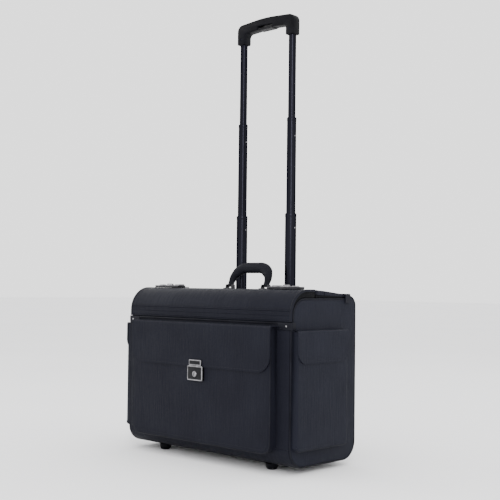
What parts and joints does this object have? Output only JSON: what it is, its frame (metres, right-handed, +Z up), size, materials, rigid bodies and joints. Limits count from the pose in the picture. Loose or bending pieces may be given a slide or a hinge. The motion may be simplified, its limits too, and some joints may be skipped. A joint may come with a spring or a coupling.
{
  "type": "pilot rolling flight case",
  "caption": "Boxy leatherette flight case with split top, combination locks, outside pockets, carry handle, rear wheels and a drawn-out telescopic trolley handle.",
  "frame": {"origin": "on the floor, midway across the width and midway between the foremost and rearmost points", "axes": "+X to the case's right end as seen from the front, +Y to its back where the trolley handle is, +Z up"},
  "size_m": [0.5158, 0.2392, 0.973],
  "materials": {
    "leatherette": "satin near-black grained leatherette",
    "edging": "smooth leatherette edging and piping",
    "lining_fabric": "matte woven lining",
    "handle_cover": "semi-gloss padded handle cover",
    "black_plastic": "fine-textured moulded plastic",
    "button_plastic": "satin moulded plastic",
    "black_tube": "gloss black enamelled metal tube",
    "nickel": "dull nickel plate",
    "dark_metal": "gunmetal finish on steel",
    "wheel_rubber": "hard matte rubber"
  },
  "bodies": {
    "case": {"front_panel": "leatherette", "bottom_tray": "leatherette", "back_panel": "leatherette", "back_lining": "lining_fabric", "left_end_panel": "leatherette", "left_piping": "edging", "right_end_panel": "leatherette", "right_piping": "edging", "left_rear_beam": "leatherette", "right_rear_beam": "leatherette", "trolley_bezel": "black_plastic", "left_guide_tube": "black_tube", "right_guide_tube": "black_tube", "front_hinge_strip": "edging", "left_front_tab": "edging", "right_front_tab": "edging", "left_rear_tab": "edging", "right_rear_tab": "edging", "front_pocket": "leatherette", "key_lock_body": "dark_metal", "left_pocket": "leatherette", "right_pocket": "leatherette", "left_front_foot": "black_plastic", "left_wheel_housing": "black_plastic", "left_axle": "nickel", "right_front_foot": "black_plastic", "right_wheel_housing": "black_plastic", "right_axle": "nickel"},
    "front_flap": {"front_flap": "leatherette", "left_lock_base": "dark_metal", "right_lock_base": "dark_metal"},
    "left_lock_dial_1": {"left_lock_dial_1": "nickel"},
    "left_lock_dial_2": {"left_lock_dial_2": "nickel"},
    "left_lock_dial_3": {"left_lock_dial_3": "nickel"},
    "left_lock_slide": {"left_lock_slide": "nickel"},
    "right_lock_dial_1": {"right_lock_dial_1": "nickel"},
    "right_lock_dial_2": {"right_lock_dial_2": "nickel"},
    "right_lock_dial_3": {"right_lock_dial_3": "nickel"},
    "right_lock_slide": {"right_lock_slide": "nickel"},
    "rear_lid": {"rear_lid": "leatherette", "left_handle_mount": "dark_metal", "right_handle_mount": "dark_metal"},
    "left_hasp": {"left_hasp": "nickel"},
    "right_hasp": {"right_hasp": "nickel"},
    "carry_handle": {"carry_handle": "handle_cover"},
    "front_pocket_flap": {"front_pocket_flap": "leatherette", "key_lock_hasp": "nickel"},
    "key_cylinder": {"key_cylinder": "nickel"},
    "left_pocket_flap": {"left_pocket_flap": "leatherette"},
    "right_pocket_flap": {"right_pocket_flap": "leatherette"},
    "lower_stage": {"left_lower_tube": "black_tube", "right_lower_tube": "black_tube"},
    "middle_stage": {"left_middle_tube": "black_tube", "right_middle_tube": "black_tube"},
    "upper_stage": {"left_upper_tube": "black_tube", "right_upper_tube": "black_tube", "trolley_grip": "black_plastic"},
    "release_button": {"release_button": "button_plastic"},
    "left_wheel": {"left_wheel": "wheel_rubber"},
    "right_wheel": {"right_wheel": "wheel_rubber"}
  },
  "joints": [
    {"name": "front_flap_hinge", "type": "hinge", "parent": "case", "child": "front_flap", "pos_m": [0, -0.09415, 0.2961], "axis": [1, 0, 0], "range_deg": [0, 105]},
    {"name": "rear_lid_hinge", "type": "hinge", "parent": "case", "child": "rear_lid", "pos_m": [0, 0.07925, 0.3509], "axis": [-1, 0, 0], "range_deg": [0, 75]},
    {"name": "carry_handle_swing", "type": "hinge", "parent": "rear_lid", "child": "carry_handle", "pos_m": [0, 0.03953, 0.36531], "axis": [-1, 0, 0], "range_deg": [-98, 12]},
    {"name": "left_hasp_lift", "type": "hinge", "parent": "rear_lid", "child": "left_hasp", "pos_m": [-0.1505, -0.00395, 0.36228], "axis": [-1, 0, 0], "range_deg": [0, 120]},
    {"name": "right_hasp_lift", "type": "hinge", "parent": "rear_lid", "child": "right_hasp", "pos_m": [0.1505, -0.00395, 0.36228], "axis": [-1, 0, 0], "range_deg": [0, 120]},
    {"name": "left_lock_slide_push", "type": "slide", "parent": "front_flap", "child": "left_lock_slide", "axis": [-1, 0, 0], "range_m": [0, 0.005], "stiffness_N_per_m": 400},
    {"name": "right_lock_slide_push", "type": "slide", "parent": "front_flap", "child": "right_lock_slide", "axis": [1, 0, 0], "range_m": [0, 0.005], "stiffness_N_per_m": 400},
    {"name": "left_lock_dial_1_turn", "type": "hinge", "parent": "front_flap", "child": "left_lock_dial_1", "pos_m": [-0.1809, -0.03195, 0.3651], "axis": [1, 0, 0], "continuous": true},
    {"name": "left_lock_dial_2_turn", "type": "hinge", "parent": "front_flap", "child": "left_lock_dial_2", "pos_m": [-0.1755, -0.03195, 0.3651], "axis": [1, 0, 0], "continuous": true},
    {"name": "left_lock_dial_3_turn", "type": "hinge", "parent": "front_flap", "child": "left_lock_dial_3", "pos_m": [-0.1701, -0.03195, 0.3651], "axis": [1, 0, 0], "continuous": true},
    {"name": "right_lock_dial_1_turn", "type": "hinge", "parent": "front_flap", "child": "right_lock_dial_1", "pos_m": [0.1701, -0.03195, 0.3651], "axis": [1, 0, 0], "continuous": true},
    {"name": "right_lock_dial_2_turn", "type": "hinge", "parent": "front_flap", "child": "right_lock_dial_2", "pos_m": [0.1755, -0.03195, 0.3651], "axis": [1, 0, 0], "continuous": true},
    {"name": "right_lock_dial_3_turn", "type": "hinge", "parent": "front_flap", "child": "right_lock_dial_3", "pos_m": [0.1809, -0.03195, 0.3651], "axis": [1, 0, 0], "continuous": true},
    {"name": "front_pocket_flap_hinge", "type": "hinge", "parent": "case", "child": "front_pocket_flap", "pos_m": [0, -0.09445, 0.2886], "axis": [1, 0, 0], "range_deg": [-88, 0]},
    {"name": "key_cylinder_turn", "type": "hinge", "parent": "case", "child": "key_cylinder", "pos_m": [0, -0.11585, 0.18205], "axis": [0, 1, 0], "range_deg": [0, 90]},
    {"name": "left_pocket_flap_hinge", "type": "hinge", "parent": "case", "child": "left_pocket_flap", "pos_m": [-0.2419, -0.00985, 0.2806], "axis": [0, 1, 0], "range_deg": [0, 80]},
    {"name": "right_pocket_flap_hinge", "type": "hinge", "parent": "case", "child": "right_pocket_flap", "pos_m": [0.2419, -0.00985, 0.2806], "axis": [0, -1, 0], "range_deg": [0, 80]},
    {"name": "lower_stage_slide", "type": "slide", "parent": "case", "child": "lower_stage", "axis": [0, 0, 1], "range_m": [-0.163, 0]},
    {"name": "middle_stage_slide", "type": "slide", "parent": "lower_stage", "child": "middle_stage", "axis": [0, 0, 1], "range_m": [-0.209, 0]},
    {"name": "upper_stage_slide", "type": "slide", "parent": "middle_stage", "child": "upper_stage", "axis": [0, 0, 1], "range_m": [-0.182, 0]},
    {"name": "release_button_press", "type": "slide", "parent": "upper_stage", "child": "release_button", "axis": [0, 0, 1], "range_m": [0, 0.0035], "stiffness_N_per_m": 600},
    {"name": "left_wheel_spin", "type": "hinge", "parent": "case", "child": "left_wheel", "pos_m": [-0.19, 0.09465, 0.025], "axis": [1, 0, 0], "continuous": true},
    {"name": "right_wheel_spin", "type": "hinge", "parent": "case", "child": "right_wheel", "pos_m": [0.19, 0.09465, 0.025], "axis": [1, 0, 0], "continuous": true}
  ]
}
